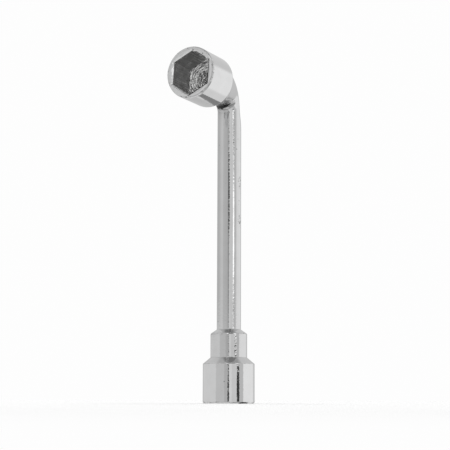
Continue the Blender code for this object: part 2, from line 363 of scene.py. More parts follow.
def spread(tree, value, low, high, to_low=0.0, to_high=1.0, smooth=False):
    """A value's range carried over to another range, without running past it."""
    inputs = {"Value": value, "From Min": low, "From Max": high, "To Min": to_low, "To Max": to_high}
    kind = 'SMOOTHSTEP' if smooth else 'LINEAR'
    return add(tree, "ShaderNodeMapRange", inputs, interpolation_type=kind).outputs["Result"]


def blended(tree, share, first, second):
    """The first colour going over to the second by a share."""
    node = add(tree, "ShaderNodeMix", data_type='RGBA')
    for name, value in {"Factor": share, "A": first, "B": second}.items():
        feed(tree, next(s for s in node.inputs if s.name == name and s.enabled), value)
    return next(s for s in node.outputs if s.enabled)


def grey(level):
    """A grey colour."""
    return (level, level, level, 1.0)


def grain(tree, place, scale, detail, stretch=None):
    """Noise over the piece, drawn out by stretch along each axis."""
    if stretch:
        place = add(tree, "ShaderNodeMapping", {"Vector": place, "Scale": stretch}).outputs["Vector"]
    inputs = {"Vector": place, "Scale": scale, "Detail": detail}
    return add(tree, "ShaderNodeTexNoise", inputs).outputs["Fac"]


def patchy(tree, place, kind, to_low=0.0, to_high=1.0):
    """Patches of noise that run from one level to another between the grain's two limits."""
    scale, detail, low, high = kind
    return spread(tree, grain(tree, place, scale, detail), low, high, to_low, to_high)


def length_of(tree, vector):
    """The length of a vector."""
    return add(tree, "ShaderNodeVectorMath", {0: vector}, operation='LENGTH').outputs["Value"]


# Finishes

def metal(name):
    """A metal, its node tree, its shader's sockets and the place of each point on the piece."""
    material = bpy.data.materials.new(name)
    material.use_nodes = True
    tree = material.node_tree
    shader = tree.nodes["Principled BSDF"].inputs
    shader["Metallic"].default_value = 1.0
    return material, tree, shader, add(tree, "ShaderNodeTexCoord").outputs["Object"]


def finished(tree, shader, colour, roughness, normal):
    """A metal's colour, roughness and relief joined to its shader."""
    feed(tree, shader["Base Color"], colour)
    feed(tree, shader["Roughness"], roughness)
    feed(tree, shader["Normal"], normal)


def point_share(tree, name):
    """A share that the mesh holds point by point."""
    return add(tree, "ShaderNodeAttribute", attribute_name=name).outputs["Fac"]


def raised(tree, height, distance, normal=None):
    """Relief of a height, over the relief that is there already."""
    inputs = {"Height": height, "Strength": 1.0, "Distance": distance}
    if normal:
        inputs["Normal"] = normal
    return add(tree, "ShaderNodeBump", inputs).outputs["Normal"]


def away_from(tree, place, spot, weights):
    """How far each point is from a spot, with each axis counted by its weight."""
    inputs = {"Vector": place, "Location": [-a * b for a, b in zip(spot, weights)], "Scale": weights}
    return length_of(tree, add(tree, "ShaderNodeMapping", inputs).outputs["Vector"])


def turning_marks(tree, place, spot, square):
    """Fine rings round a socket's line, as a lathe tool leaves them on its face and shoulder."""
    inputs = {"W": away_from(tree, place, spot, square), "Scale": TURNING_SCALE, "Detail": 1.0}
    return add(tree, "ShaderNodeTexNoise", inputs, noise_dimensions='1D').outputs["Fac"]


def plate_pits(tree, place, pitted):
    """Single pits here and there, and many in the patches that rust has pitted."""
    cells = add(tree, "ShaderNodeTexVoronoi", {"Vector": place, "Scale": PIT_CELL_SCALE})
    pits = spread(tree, cells.outputs["Distance"], *PIT_CELL_LIMITS, smooth=True)
    pits = product(tree, pits, patchy(tree, place, PIT_GRAIN))
    for patch in pitted:
        rusted = spread(tree, away_from(tree, place, *patch), PITTED_REACH, PITTED_CORE)
        rusted = product(tree, rusted, patchy(tree, place, RUST_HOLE_GRAIN))
        pits = sums(tree, 'MAXIMUM', pits, rusted)
    return pits


def plate_wear_and_shade(tree, place, peel, rim_mark, pitted):
    """Share of each kind of wear over the plate, of the painted shade in the crease and under the flare,
    and of the rim's dark mark.
    """
    edge = point_share(tree, "edge")
    nicked_edge = spread(tree, edge, *NICK_EDGE_LIMITS)
    # Painted shade along the crease and under the flare, from shares that the shank's mesh holds
    crease = point_share(tree, "crease")
    crease = product(tree, crease, patchy(tree, place, CREASE_SHADE_GRAIN, *CREASE_SHADE_UNEVENNESS))
    flare_shade = patchy(tree, place, FLARE_SHADE_GRAIN, *FLARE_SHADE_UNEVENNESS)
    wear_and_shade = {
        "scuffs": product(tree, edge, patchy(tree, place, SCUFF_GRAIN)),
        "nicks": product(tree, nicked_edge, patchy(tree, place, NICK_GRAIN)),
        "pits": plate_pits(tree, place, pitted),
        "crease_shade_fringe": spread(tree, crease, *CREASE_SHADE_FRINGE_LIMITS, 0.0, CREASE_SHADE_FRINGE_MOST),
        "flare_shade": product(tree, point_share(tree, "flare_shade"), flare_shade, clamp=True),
        "crease_shade": spread(tree, crease, *CREASE_SHADE_LIMITS, smooth=True),
    }
    # A dark mark low on the long end's rim, with a ragged outline
    if rim_mark:
        ragged = product(tree, peel, RIM_MARK_RAGGED)
        marked = sums(tree, 'ADD', away_from(tree, place, *rim_mark), ragged)
        wear_and_shade["rim mark"] = spread(tree, marked, RIM_MARK_REACH, RIM_MARK_CORE)
    return wear_and_shade


def chrome_plate(name, shade, polish, wave_height, peel_height, turned=None, rim_mark=None, pitted=()):
    """Bright chromium plate over polished steel: orange peel, a few pits, haze and scuffed edges, with
    painted shade in the bend's crease and under the flare.
    """
    material, tree, shader, place = metal(name)
    peel = grain(tree, place, *PEEL_GRAIN)
    haze = patchy(tree, place, HAZE_GRAIN)
    wear_and_shade = plate_wear_and_shade(tree, place, peel, rim_mark, pitted)
    bright = (*(shade * part for part in PLATE_TINT), 1.0)
    colour = blended(tree, haze, bright, grey(shade * HAZY_SHADE))
    roughness = spread(tree, haze, 0.0, 1.0, *PLATE_ROUGHNESS)
    # Wear, painted shade and the rim's dark mark laid over the plate, one kind after another
    for kind, level, added in PLATE_WEAR_AND_SHADE:
        if kind in wear_and_shade:
            colour = blended(tree, wear_and_shade[kind], colour, grey(level))
            roughness = sums(tree, 'ADD', roughness, product(tree, wear_and_shade[kind], added))
    normal = raised(tree, grain(tree, place, *WAVE_GRAIN), wave_height)
    normal = raised(tree, peel, peel_height, normal)
    if turned:
        normal = raised(tree, turning_marks(tree, place, *turned), TURNING_HEIGHT, normal)
    normal = raised(tree, grain(tree, place, *POLISH_GRAIN, polish), POLISH_HEIGHT, normal)
    normal = raised(tree, wear_and_shade["pits"], -PIT_DEPTH, normal)
    finished(tree, shader, colour, roughness, normal)
    return material


def broached_steel(name, along):
    """Dull, dark steel of the hexagon walls, with broach lines drawn along the socket."""
    material, tree, shader, place = metal(name)
    stretch = [BROACH_ALONG if share else BROACH_ACROSS for share in along]
    lines = grain(tree, place, *BROACH_GRAIN, stretch)
    bloom = grain(tree, place, *BLOOM_GRAIN)
    shine = patchy(tree, place, BROACH_SHINE_GRAIN, *BROACH_SHINE)
    streaks = product(tree, spread(tree, lines, *BROACH_LINE_LIMITS), shine)
    colour = blended(tree, streaks, grey(BROACH_DARK), grey(BROACH_BRIGHT))
    colour = blended(tree, spread(tree, bloom, *BLOOM_LIMITS), colour, BLOOM_COLOUR)
    roughness = spread(tree, bloom, *BLOOM_ROUGHNESS_LIMITS, *BLOOM_ROUGHNESS)
    finished(tree, shader, colour, roughness, raised(tree, lines, BROACH_LINE_HEIGHT))
    return material


def torn_steel(name):
    """Bright torn steel of the hexagon floors, left rough from the cutter."""
    material, tree, shader, place = metal(name)
    tears = grain(tree, place, *TEAR_GRAIN)
    heart = point_share(tree, "heart")
    strokes = product(tree, point_share(tree, "stroke"), STROKE_SHARE)
    torn = sums(tree, 'ADD', strokes, product(tree, tears, TEAR_SHARE))
    torn = sums(tree, 'SUBTRACT', torn, product(tree, heart, HEART_LOSS))
    colour = blended(tree, spread(tree, torn, *TORN_LIMITS), grey(TORN_DARK), TORN_BRIGHT)
    pits = grain(tree, place, *TORN_PIT_GRAIN)
    pits = sums(tree, 'ADD', pits, product(tree, heart, TORN_PIT_HEART))
    colour = blended(tree, spread(tree, pits, *TORN_PIT_LIMITS), colour, grey(TORN_PIT_GREY))
    roughness = patchy(tree, place, TORN_ROUGHNESS_GRAIN, *TORN_ROUGHNESS)
    finished(tree, shader, colour, roughness, raised(tree, tears, TEAR_HEIGHT))
    return material


# Profiles

def eased_profile(corners):
    """Points (along, radius, edge) through (along, radius, rounding, edge) corners.

    Each rounding is a fine arc with a guard point on both sides, so the long faces keep true normals."""
    first, last = ((along, radius, edge) for along, radius, _, edge in (corners[0], corners[-1]))
    points = [first]
    for before, corner, after in zip(corners, corners[1:], corners[2:]):
        *middle, rounding, edge = corner
        middle = Vector(middle)
        back = Vector(before[:2]) - middle
        ahead = Vector(after[:2]) - middle
        turn = math.pi - back.angle(ahead)
        room = min(back.length, ahead.length) / 2
        reach = min(rounding * math.tan(turn / 2), room - ARC_GUARD)
        back.normalize()
        ahead.normalize()
        radius = reach / math.tan(turn / 2)
        centre = middle + (back + ahead).normalized() * math.hypot(reach, radius)
        start = middle + back * reach
        spoke = start - centre
        sweep = spoke.angle_signed(middle + ahead * reach - centre)
        points.append((*(start + back * ARC_GUARD), 0.0))
        for step in range(ARC_STEPS + 1):
            turned = spoke.copy()
            turned.rotate(Matrix.Rotation(-sweep * step / ARC_STEPS, 2))
            points.append((*(centre + turned), edge))
        points.append((*(middle + ahead * (reach + ARC_GUARD)), 0.0))
    points.append(last)
    return points


def hexagon_reach(angle, apothem):
    """How far a hexagon with slightly rounded corners reaches at an angle from one of its corners."""
    half_side = math.pi / HEXAGON_SIDES
    from_corner = (angle + half_side) % (2 * half_side) - half_side
    heart = (apothem - HEXAGON_CORNER_RADIUS) / math.cos(half_side)
    rise = HEXAGON_CORNER_RADIUS * math.sin(half_side)
    if abs(from_corner) > math.atan2(rise, heart + HEXAGON_CORNER_RADIUS * math.cos(half_side)):
        return apothem / math.cos(half_side - abs(from_corner))
    aside = heart * math.sin(from_corner)
    return heart * math.cos(from_corner) + math.sqrt(HEXAGON_CORNER_RADIUS ** 2 - aside ** 2)


# Mesh helpers

def circle_row(height, radius, edge=0.0):
    """A round row of points, with how much of an edge they lie on."""
    return [(radius * math.cos(a), radius * math.sin(a), height) for a in ROUND_ANGLES], edge


def hexagon_row(height, apothem, edge=0.0):
    """A hexagonal row of points, with how much of an edge they lie on."""
    reach = [hexagon_reach(a - HEXAGON_CORNER_BEARING, apothem) for a in ROUND_ANGLES]
    return [(r * math.cos(a), r * math.sin(a), height) for a, r in zip(ROUND_ANGLES, reach)], edge


def band_faces(bm, low, high, material_index=0):
    """Faces between two rows of points."""
    for a, b, c, d in zip(low, low[1:] + low[:1], high[1:] + high[:1], high):
        bm.faces.new((a, b, c, d)).material_index = material_index


def row_skin(name, rows, materials, wall_bands=(), closed=True):
    """A mesh over rows of points; the bands named in wall_bands take the second material."""
    bm = bmesh.new()
    edge_layer = bm.verts.layers.float.new("edge")
    made = []
    for points, edge in rows:
        verts = [bm.verts.new(point) for point in points]
        for vert in verts:
            vert[edge_layer] = edge
        made.append(verts)
    pairs = list(zip(made, made[1:]))
    if closed:
        pairs.append((made[-1], made[0]))
    for band, (low, high) in enumerate(pairs):
        band_faces(bm, low, high, 1 if band in wall_bands else 0)
    if not closed:
        bm.faces.new(made[0])
        bm.faces.new(made[-1])
    return smooth_mesh(name, bm, materials)


def smooth_mesh(name, bm, materials):
    """A finished mesh with its faces outward, smooth but for its sharp edges."""
    bmesh.ops.recalc_face_normals(bm, faces=bm.faces)
    mesh = bpy.data.meshes.new(name)
    bm.to_mesh(mesh)
    bm.free()
    for material in materials:
        mesh.materials.append(material)
    mesh.shade_smooth()
    mesh.set_sharp_from_angle(angle=SHARP_ANGLE)
    return mesh


def in_scene(name, data):
    """An object of its own in the scene."""
    item = bpy.data.objects.new(name, data)
    bpy.context.scene.collection.objects.link(item)
    return item


def grown(name, base, tree, values):
    """A piece that a node tree makes from a base mesh, kept as a plain mesh."""
    item = in_scene(name, base)
    modifier = item.modifiers.new(tree.name, 'NODES')
    modifier.node_group = tree
    for socket in tree.interface.items_tree:
        if socket.item_type == 'SOCKET' and socket.name in values:
            modifier[socket.identifier] = values[socket.name]
    bpy.context.view_layer.update()
    settled = item.evaluated_get(bpy.context.evaluated_depsgraph_get())
    mesh = bpy.data.meshes.new_from_object(settled)
    item.modifiers.clear()
    item.data = mesh
    return item


def new_tree(name, sizes):
    """A node tree with geometry in and out, a material and named sizes."""
    tree = bpy.data.node_groups.new(name, "GeometryNodeTree")
    sockets = tree.interface
    sockets.new_socket("Geometry", in_out='INPUT', socket_type='NodeSocketGeometry')
    sockets.new_socket("Material", in_out='INPUT', socket_type='NodeSocketMaterial')
    for size in sizes:
        sockets.new_socket(size, in_out='INPUT', socket_type='NodeSocketFloat')
    sockets.new_socket("Geometry", in_out='OUTPUT', socket_type='NodeSocketGeometry')
    return tree, add(tree, "NodeGroupInput").outputs


def end_tree(tree, geometry, material):
    """The node tree brought to its end, with the geometry made real and given its material."""
    whole = add(tree, "GeometryNodeRealizeInstances", {"Geometry": geometry}).outputs["Geometry"]
    dressed = add(tree, "GeometryNodeSetMaterial", {"Geometry": whole, "Material": material})
    add(tree, "NodeGroupOutput", {"Geometry": dressed.outputs["Geometry"]})
    return tree


def held_value(tree, name):
    """A value that the base mesh holds point by point."""
    node = add(tree, "GeometryNodeInputNamedAttribute", {"Name": name}, data_type='FLOAT')
    return node.outputs["Attribute"]


# Bent shank

def shank_bend_tree():
    """Carries points that are given along, across and out of the shank's centre line round its bend."""
    sizes = ("Line offset", "Line foot", "Bend start", "Bend radius", "Bend angle")
    tree, given = new_tree("bent_shank_line", sizes)
    along = held_value(tree, "along")
    past = sums(tree, 'SUBTRACT', along, given["Bend start"])
    turn = sums(tree, 'MAXIMUM', sums(tree, 'DIVIDE', past, given["Bend radius"]), 0.0)
    turn = sums(tree, 'MINIMUM', turn, given["Bend angle"])
    arc = product(tree, given["Bend radius"], given["Bend angle"])
    beyond = sums(tree, 'MAXIMUM', sums(tree, 'SUBTRACT', past, arc), 0.0)
    straight = sums(tree, 'MINIMUM', along, given["Bend start"])
    sine = sums(tree, 'SINE', turn)
    cosine = sums(tree, 'COSINE', turn)
    far_out = sums(tree, 'ADD', given["Bend radius"], held_value(tree, "outward"))
    back = sums(tree, 'SUBTRACT', product(tree, far_out, cosine), given["Bend radius"])
    back = sums(tree, 'SUBTRACT', back, product(tree, beyond, sine))
    rise = sums(tree, 'ADD', straight, product(tree, far_out, sine))
    rise = sums(tree, 'ADD', rise, product(tree, beyond, cosine))
    spot = add(tree, "ShaderNodeCombineXYZ", {
        "X": held_value(tree, "across"),
        "Y": sums(tree, 'ADD', given["Line offset"], back),
        "Z": sums(tree, 'ADD', given["Line foot"], rise),
    })
    inputs = {"Geometry": given["Geometry"], "Position": spot.outputs["Vector"]}
    bent = add(tree, "GeometryNodeSetPosition", inputs)
    return end_tree(tree, bent.outputs["Geometry"], given["Material"])


def shank_profile():
    """The shank's radius along its centre line, between the welds."""
    long_weld = WELD_DEPTH / (1 + LONG_END_FALL)
    angled_weld = WELD_DEPTH / (1 + ANGLED_END_FALL)
    return eased_profile([
        (long_weld, SOCKET_RADIUS - long_weld * LONG_END_FALL, 0, 0.0),
        (NECK_START, NECK_RADIUS, NECK_FOOT_RADIUS, 0.0),
        (NECK_END, NECK_RADIUS, NECK_EDGE_RADIUS, 1.0),
        (SHANK_START, SHANK_RADIUS, NECK_FOOT_RADIUS, 0.0),
        (LINE_END - TAPER_LENGTH, SHANK_RADIUS, TAPER_BLEND_RADIUS, 0.0),
        (LINE_END - FLARE_CONE_LENGTH, FLARE_CONE_END_RADIUS, FLARE_CONE_BLEND_RADIUS, 0.0),
        (LINE_END - angled_weld, SOCKET_RADIUS - angled_weld * ANGLED_END_FALL, 0, 0.0),
    ])


def part_way(start, end, share):
    """A point of the profile at a share of the way between two others."""
    return tuple(a + (b - a) * share for a, b in zip(start, end))


def shank_stations(profile):
    """The profile's points with stations between them, closer round the bend and along the taper."""
    close_start = BEND_START - STRAIGHT_STEP
    later = next(index for index, point in enumerate(profile) if point[0] > close_start)
    before, after = profile[later - 1], profile[later]
    entry = part_way(before, after, (close_start - before[0]) / (after[0] - before[0]))
    straight = profile[:later] + [entry]
    curved = [entry] + profile[later:]
    stations = [profile[0]]
    for points, step in ((straight, STRAIGHT_STEP), (curved, BEND_STEP)):
        for start, end in zip(points, points[1:]):
            parts = max(1, math.ceil((end[0] - start[0]) / step))
            stations += [part_way(start, end, part / parts) for part in range(1, parts + 1)]
    return stations


def soft_most(first, second, ease):
    """The larger of two depths, eased over where they are nearly equal."""
    share = numpy.clip(0.5 + 0.5 * (first - second) / ease, 0.0, 1.0)
    return second + (first - second) * share + ease * share * (1.0 - share)


def section_reach(stations, profile):
    """How far each section reaches across and outward from the centre line, angle by angle.

    The upright bar and the flare of the angled end meet in a rounded crease at the inside of the bend,
    and the sweep of the profile round the bend bounds them on the outside. The shares of painted shade
    in the crease and under the flare come with it."""
    marks = [point[0] for point in profile]
    girths = [point[1] for point in profile]
    along = numpy.array([station[0] for station in stations])[:, None]
    girth = numpy.array([station[1] for station in stations])[:, None]
    turn = numpy.clip((along - BEND_START) / BEND_RADIUS, 0.0, BEND_ANGLE)
    bent = (turn > 0.0) & (turn < BEND_ANGLE)
    back_ease = numpy.maximum(BACK_ROUNDING * numpy.sin(2.0 * turn), BACK_ROUNDING_LEAST)
    angles = numpy.array(ROUND_ANGLES)[None, :]

    def bar_and_flare(across, outward):
        """How deep a point lies in the upright bar and in the flare, and how high over the flare's line."""
        forth = (BEND_RADIUS + outward) * numpy.cos(turn)
        height = (BEND_RADIUS + outward) * numpy.sin(turn) - BEND_RADIUS
        height = height + FLARE_DROP * numpy.maximum(forth, 0.0)
        bar = SHANK_RADIUS - numpy.hypot(across, forth - BEND_RADIUS)
        flare_girth = numpy.interp(LINE_END - STEM_LENGTH - forth, marks, girths)
        return bar, flare_girth - numpy.hypot(across, height), height

    def depth(across, outward):
        """How deep a point lies in the shank."""
        bar, flare, _ = bar_and_flare(across, outward)
        joined = soft_most(bar, flare, CREASE_ROUNDING)
        swept = girth - numpy.hypot(across, numpy.maximum(outward, 0.0))
        elbow = -soft_most(-joined, -swept, back_ease)
        return numpy.where(bent, elbow, girth - numpy.hypot(across, outward))

    def surface(middle, angle):
        """Where a ray from the middle of each section leaves the shank."""
        inside = numpy.zeros_like(girth * angle)
        outside = inside + 2.0 * girth
        for _ in range(HALVINGS):
            tried = (inside + outside) / 2
            within = depth(tried * numpy.cos(angle), middle + tried * numpy.sin(angle)) > 0.0
            inside = numpy.where(within, tried, inside)
            outside = numpy.where(within, outside, tried)
        return inside * numpy.cos(angle), middle + inside * numpy.sin(angle)

    def crease_and_flare_shade(across, outward):
        """Shares of painted shade along the crease and under the flare."""
        bar, flare, height = bar_and_flare(across, outward)
        aside = (across - CREASE_MIDDLE) / CREASE_HALF_WIDTH
        reach = CREASE_REACH * numpy.clip(1.0 - aside ** 2, CREASE_LEAST_SHARE, 1.0)
        from_crease = bar - flare + CREASE_SHIFT + CREASE_SLANT * across
        crease_shade = 1.0 / (1.0 + (from_crease / reach) ** 2)
        flare_shade = numpy.clip((height - FLARE_SHADE_TOP) / (FLARE_SHADE_FULL - FLARE_SHADE_TOP), 0.0, 1.0)
        flare_shade = flare_shade * numpy.clip((1.0 + bar / FLARE_SHADE_REACH) / FLARE_SHADE_FADE, 0.0, 1.0)
        flare_shade = flare_shade * numpy.clip(1.0 - (bar - flare) / FLARE_SHADE_BELOW, 0.0, 1.0)
        inner = bent & (outward < 0.0)
        return numpy.where(inner, crease_shade, 0.0), numpy.where(inner, flare_shade, 0.0)

    upright = numpy.full((1, 1), math.pi / 2)
    middle = (surface(0.0 * girth, upright)[1] + surface(0.0 * girth, -upright)[1]) / 2
    across, outward = surface(middle, angles)
    return across, outward, *crease_and_flare_shade(across, outward)


def bent_shank(plate):
    """The shank between its welds, with its neck, its bend and its flare."""
    profile = shank_profile()
    stations = shank_stations(profile)
    across, outward, crease, flare_shade = section_reach(stations, profile)
    along = numpy.repeat([station[0] for station in stations], ROUND_STEPS)
    sleeve = row_skin("shank_sleeve", [circle_row(*station) for station in stations], [plate], closed=False)
    # Besides the places, the shank's mesh holds the shares of painted shade in the crease and under the
    # flare
    held = {"along": along, "across": across, "outward": outward, "crease": crease, "flare_shade": flare_shade}
    for name, values in held.items():
        sleeve.attributes.new(name, 'FLOAT', 'POINT').data.foreach_set("value", values.ravel())
    return grown("shank_bar", sleeve, shank_bend_tree(), {
        "Material": plate,
        "Line offset": SHANK_LINE_Y,
        "Line foot": LONG_SOCKET_LENGTH,
        "Bend start": BEND_START,
        "Bend radius": BEND_RADIUS,
        "Bend angle": BEND_ANGLE,
    })


# Sockets, their floors and their welds

def socket_body(name, place, length, plate, wall):
    """A hexagon tube with a rounded rim and a small lead-in round the hexagon."""
    back = length - WELD_DEPTH
    rows = [circle_row(back, SOCKET_RADIUS)]
    rim = eased_profile([
        (back, SOCKET_RADIUS, 0, 0.0),
        (0.0, SOCKET_RADIUS, MOUTH_EDGE_RADIUS, 1.0),
        (0.0, SOCKET_RADIUS - MOUTH_FACE_WIDTH, 0, 0.0),
    ])
    rows += [circle_row(*point) for point in rim[1:-1]]
    rows += [
        hexagon_row(0.0, HEXAGON_APOTHEM + MOUTH_LEAD_IN, MOUTH_LEAD_IN_WEAR),
        hexagon_row(MOUTH_LEAD_IN, HEXAGON_APOTHEM, MOUTH_LEAD_IN_WEAR),
        hexagon_row(2 * MOUTH_LEAD_IN, HEXAGON_APOTHEM),
        hexagon_row(HEXAGON_DEPTH, HEXAGON_APOTHEM),
        hexagon_row(back, HEXAGON_APOTHEM),
    ]
    last = len(rows) - 1
    mesh = row_skin(name, rows, [plate, wall], wall_bands=range(last - 3, last))
    mesh.transform(place)
    return in_scene(name, mesh)


def floor_tree():
    """The drill's shallow cone, its cutting rings and torn grain over the points of the floor's face."""
    sizes = (
        "Edge radius", "Edge depth", "Middle radius", "Middle depth",
        "Ring pitch", "Ring height", "Ring wobble", "Grain size", "Grain height",
        "Stroke width", "Stroke height", "Strokes per turn",
    )
    tree, given = new_tree("drilled_floor", sizes)
    spot = add(tree, "GeometryNodeInputPosition").outputs["Position"]
    flat = add(tree, "ShaderNodeVectorMath", {0: spot, 1: (1.0, 1.0, 0.0)}, operation='MULTIPLY')
    out = length_of(tree, flat.outputs[0])
    split = add(tree, "ShaderNodeSeparateXYZ", {"Vector": spot}).outputs
    bearing = sums(tree, 'ARCTAN2', split["Y"], split["X"])
    scale = sums(tree, 'DIVIDE', 1.0, given["Grain size"])
    torn = sums(tree, 'SUBTRACT', grain(tree, spot, scale, 2.0), NOISE_MIDDLE)
    torn = product(tree, torn, given["Grain height"])
    polar = add(tree, "ShaderNodeCombineXYZ", {
        "X": sums(tree, 'DIVIDE', out, given["Stroke width"]),
        "Y": product(tree, bearing, given["Strokes per turn"]),
    })
    stroke = grain(tree, polar.outputs["Vector"], 1.0, 1.0)
    carved = product(tree, sums(tree, 'SUBTRACT', stroke, NOISE_MIDDLE), given["Stroke height"])
    torn = sums(tree, 'ADD', torn, carved)
    drift = grain(tree, spot, product(tree, scale, FLOOR_DRIFT_SCALE), 1.0)
    drift = sums(tree, 'SUBTRACT', drift, NOISE_MIDDLE)
    bent_out = sums(tree, 'ADD', out, product(tree, drift, given["Ring wobble"]))
    turn = product(tree, sums(tree, 'DIVIDE', bent_out, given["Ring pitch"]), math.tau)
    ring = product(tree, sums(tree, 'SINE', turn), given["Ring height"])
    ring = product(tree, ring, spread(tree, drift, *FLOOR_DRIFT_LIMITS, *FLOOR_RING_SHARES))
    edge = spread(tree, out, given["Edge radius"], given["Middle radius"], 0.0, given["Edge depth"])
    middle = spread(tree, out, given["Middle radius"], 0.0, 0.0, given["Middle depth"])
    dish = sums(tree, 'ADD', edge, middle)
    lift = sums(tree, 'ADD', dish, sums(tree, 'ADD', ring, torn))
    lift = product(tree, lift, held_value(tree, "face"))
    offset = add(tree, "ShaderNodeCombineXYZ", {"Z": lift}).outputs["Vector"]
    heart = spread(tree, out, given["Middle radius"], 0.0)
    cut = add(tree, "GeometryNodeSetPosition", {"Geometry": given["Geometry"], "Offset": offset})
    for name, value in (("stroke", stroke), ("heart", heart)):
        inputs = {"Geometry": cut.outputs["Geometry"], "Name": name, "Value": value}
        cut = add(tree, "GeometryNodeStoreNamedAttribute", inputs, data_type='FLOAT', domain='POINT')
    return end_tree(tree, cut.outputs["Geometry"], given["Material"])


def hexagon_floor(name, place, length, steel, tree):
    """The end of the shank's hexagon plug, which is the floor that shows inside a socket."""
    apothem = HEXAGON_APOTHEM - FLOOR_CLEARANCE
    front = HEXAGON_DEPTH - FLOOR_EDGE_RISE
    back = length - FLOOR_BACK_INSET
    bm = bmesh.new()
    face_layer = bm.verts.layers.float.new("face")
    heart = bm.verts.new((0, 0, front))
    heart[face_layer] = 1.0
    rows = []
    for step in range(1, FLOOR_STEPS + 1):
        points, _ = hexagon_row(front, apothem * step / FLOOR_STEPS)
        verts = [bm.verts.new(point) for point in points]
        for vert in verts:
            vert[face_layer] = 1.0
        rows.append(verts)
    rows.append([bm.verts.new(point) for point in hexagon_row(back, apothem)[0]])
    for a, b in zip(rows[0], rows[0][1:] + rows[0][:1]):
        bm.faces.new((heart, a, b))
    for low, high in zip(rows, rows[1:]):
        band_faces(bm, low, high)
    bm.faces.new(rows[-1])
    item = grown(name, smooth_mesh(name, bm, []), tree, {
        "Material": steel,
        "Edge radius": FLOOR_EDGE_RADIUS,
        "Edge depth": FLOOR_EDGE_DEPTH,
        "Middle radius": FLOOR_MIDDLE_RADIUS,
        "Middle depth": FLOOR_MIDDLE_DEPTH,
        "Ring pitch": FLOOR_RING_PITCH,
        "Ring height": FLOOR_RING_HEIGHT,
        "Ring wobble": FLOOR_RING_WOBBLE,
        "Grain size": FLOOR_GRAIN_SIZE,
        "Grain height": FLOOR_GRAIN_HEIGHT,
        "Stroke width": FLOOR_STROKE_WIDTH,
        "Stroke height": FLOOR_STROKE_HEIGHT,
        "Strokes per turn": FLOOR_STROKES_PER_TURN,
    })
    item.data.transform(place)
    return item


def weld_band(name, place, length, fall, plate):
    """The weld round a shoulder, ground flush and plated over."""
    reach = WELD_DEPTH / (1 + fall)
    profile = eased_profile([
        (length - WELD_DEPTH, SOCKET_RADIUS, 0, 0.0),
        (length, SOCKET_RADIUS, SHOULDER_EDGE_RADIUS, 1.0),
        (length + reach, SOCKET_RADIUS - reach * fall, 0, 0.0),
    ])
    rows = [circle_row(*point) for point in profile]
    rows.append(circle_row(length, SOCKET_RADIUS - WELD_ROOT_DEPTH))
    mesh = row_skin(name, rows, [plate])
    mesh.transform(place)
    return in_scene(name, mesh)


# Stage

def pale_floor():
    """A pale floor that keeps the shadow near the wrench and runs out into an even backdrop.

    The metal doesn't mirror it, but the ground of the tent."""
    material = bpy.data.materials.new("pale_floor")
    material.use_nodes = True
    tree = material.node_tree
    tree.nodes.clear()
    place = add(tree, "ShaderNodeTexCoord").outputs["Object"]
    tone = blended(tree, patchy(tree, place, STAGE_GRAIN), *(grey(level) for level in STAGE_GREYS))
    near = add(tree, "ShaderNodeBsdfDiffuse", {"Color": tone}).outputs["BSDF"]
    far = add(tree, "ShaderNodeEmission", {"Strength": BACKDROP_LEVEL}).outputs["Emission"]
    share = spread(tree, length_of(tree, place), STAGE_SHADOW_RADIUS, STAGE_BACKDROP_RADIUS, smooth=True)
    shown = add(tree, "ShaderNodeMixShader", {"Fac": share, 1: near, 2: far}).outputs["Shader"]
    left_out = add(tree, "ShaderNodeBsdfTransparent").outputs["BSDF"]
    mirrored = add(tree, "ShaderNodeLightPath").outputs["Is Glossy Ray"]
    both = add(tree, "ShaderNodeMixShader", {"Fac": mirrored, 1: shown, 2: left_out})
    add(tree, "ShaderNodeOutputMaterial", {"Surface": both.outputs["Shader"]})
    half = STAGE_HALF_WIDTH
    corners = [(-half, -half, 0), (half, -half, 0), (half, half, 0), (-half, half, 0)]
    mesh = bpy.data.meshes.new("floor")
    mesh.from_pydata(corners, [], [(0, 1, 2, 3)])
    mesh.materials.append(material)
    in_scene("floor", mesh)


def round_ramp(tree, share, stops):
    """Grey levels at degrees to the right of the camera, all the way round."""
    ramp = add(tree, "ShaderNodeValToRGB", {"Fac": share})
    marks = ramp.color_ramp.elements
    while len(marks) > 1:
        marks.remove(marks[-1])
    for index, (degrees, level) in enumerate(stops):
        at = (degrees + 180) / 360
        mark = marks[0] if index == 0 else marks.new(at)
        mark.position = at
        mark.color = grey(level)
    return ramp.outputs["Color"]


def risen(tree, angle, edges, smooth=False):
    """0 up to the first edge, in degrees, and 1 from the second."""
    first, full = (math.radians(edge) for edge in edges)
    return spread(tree, angle, first, full, smooth=smooth)


def between(tree, angle, edges):
    """1 between the two middle edges, in degrees, and falling to 0 at the outer two."""
    first, full, last, end = edges
    return product(tree, risen(tree, angle, (first, full)), risen(tree, angle, (end, last)))


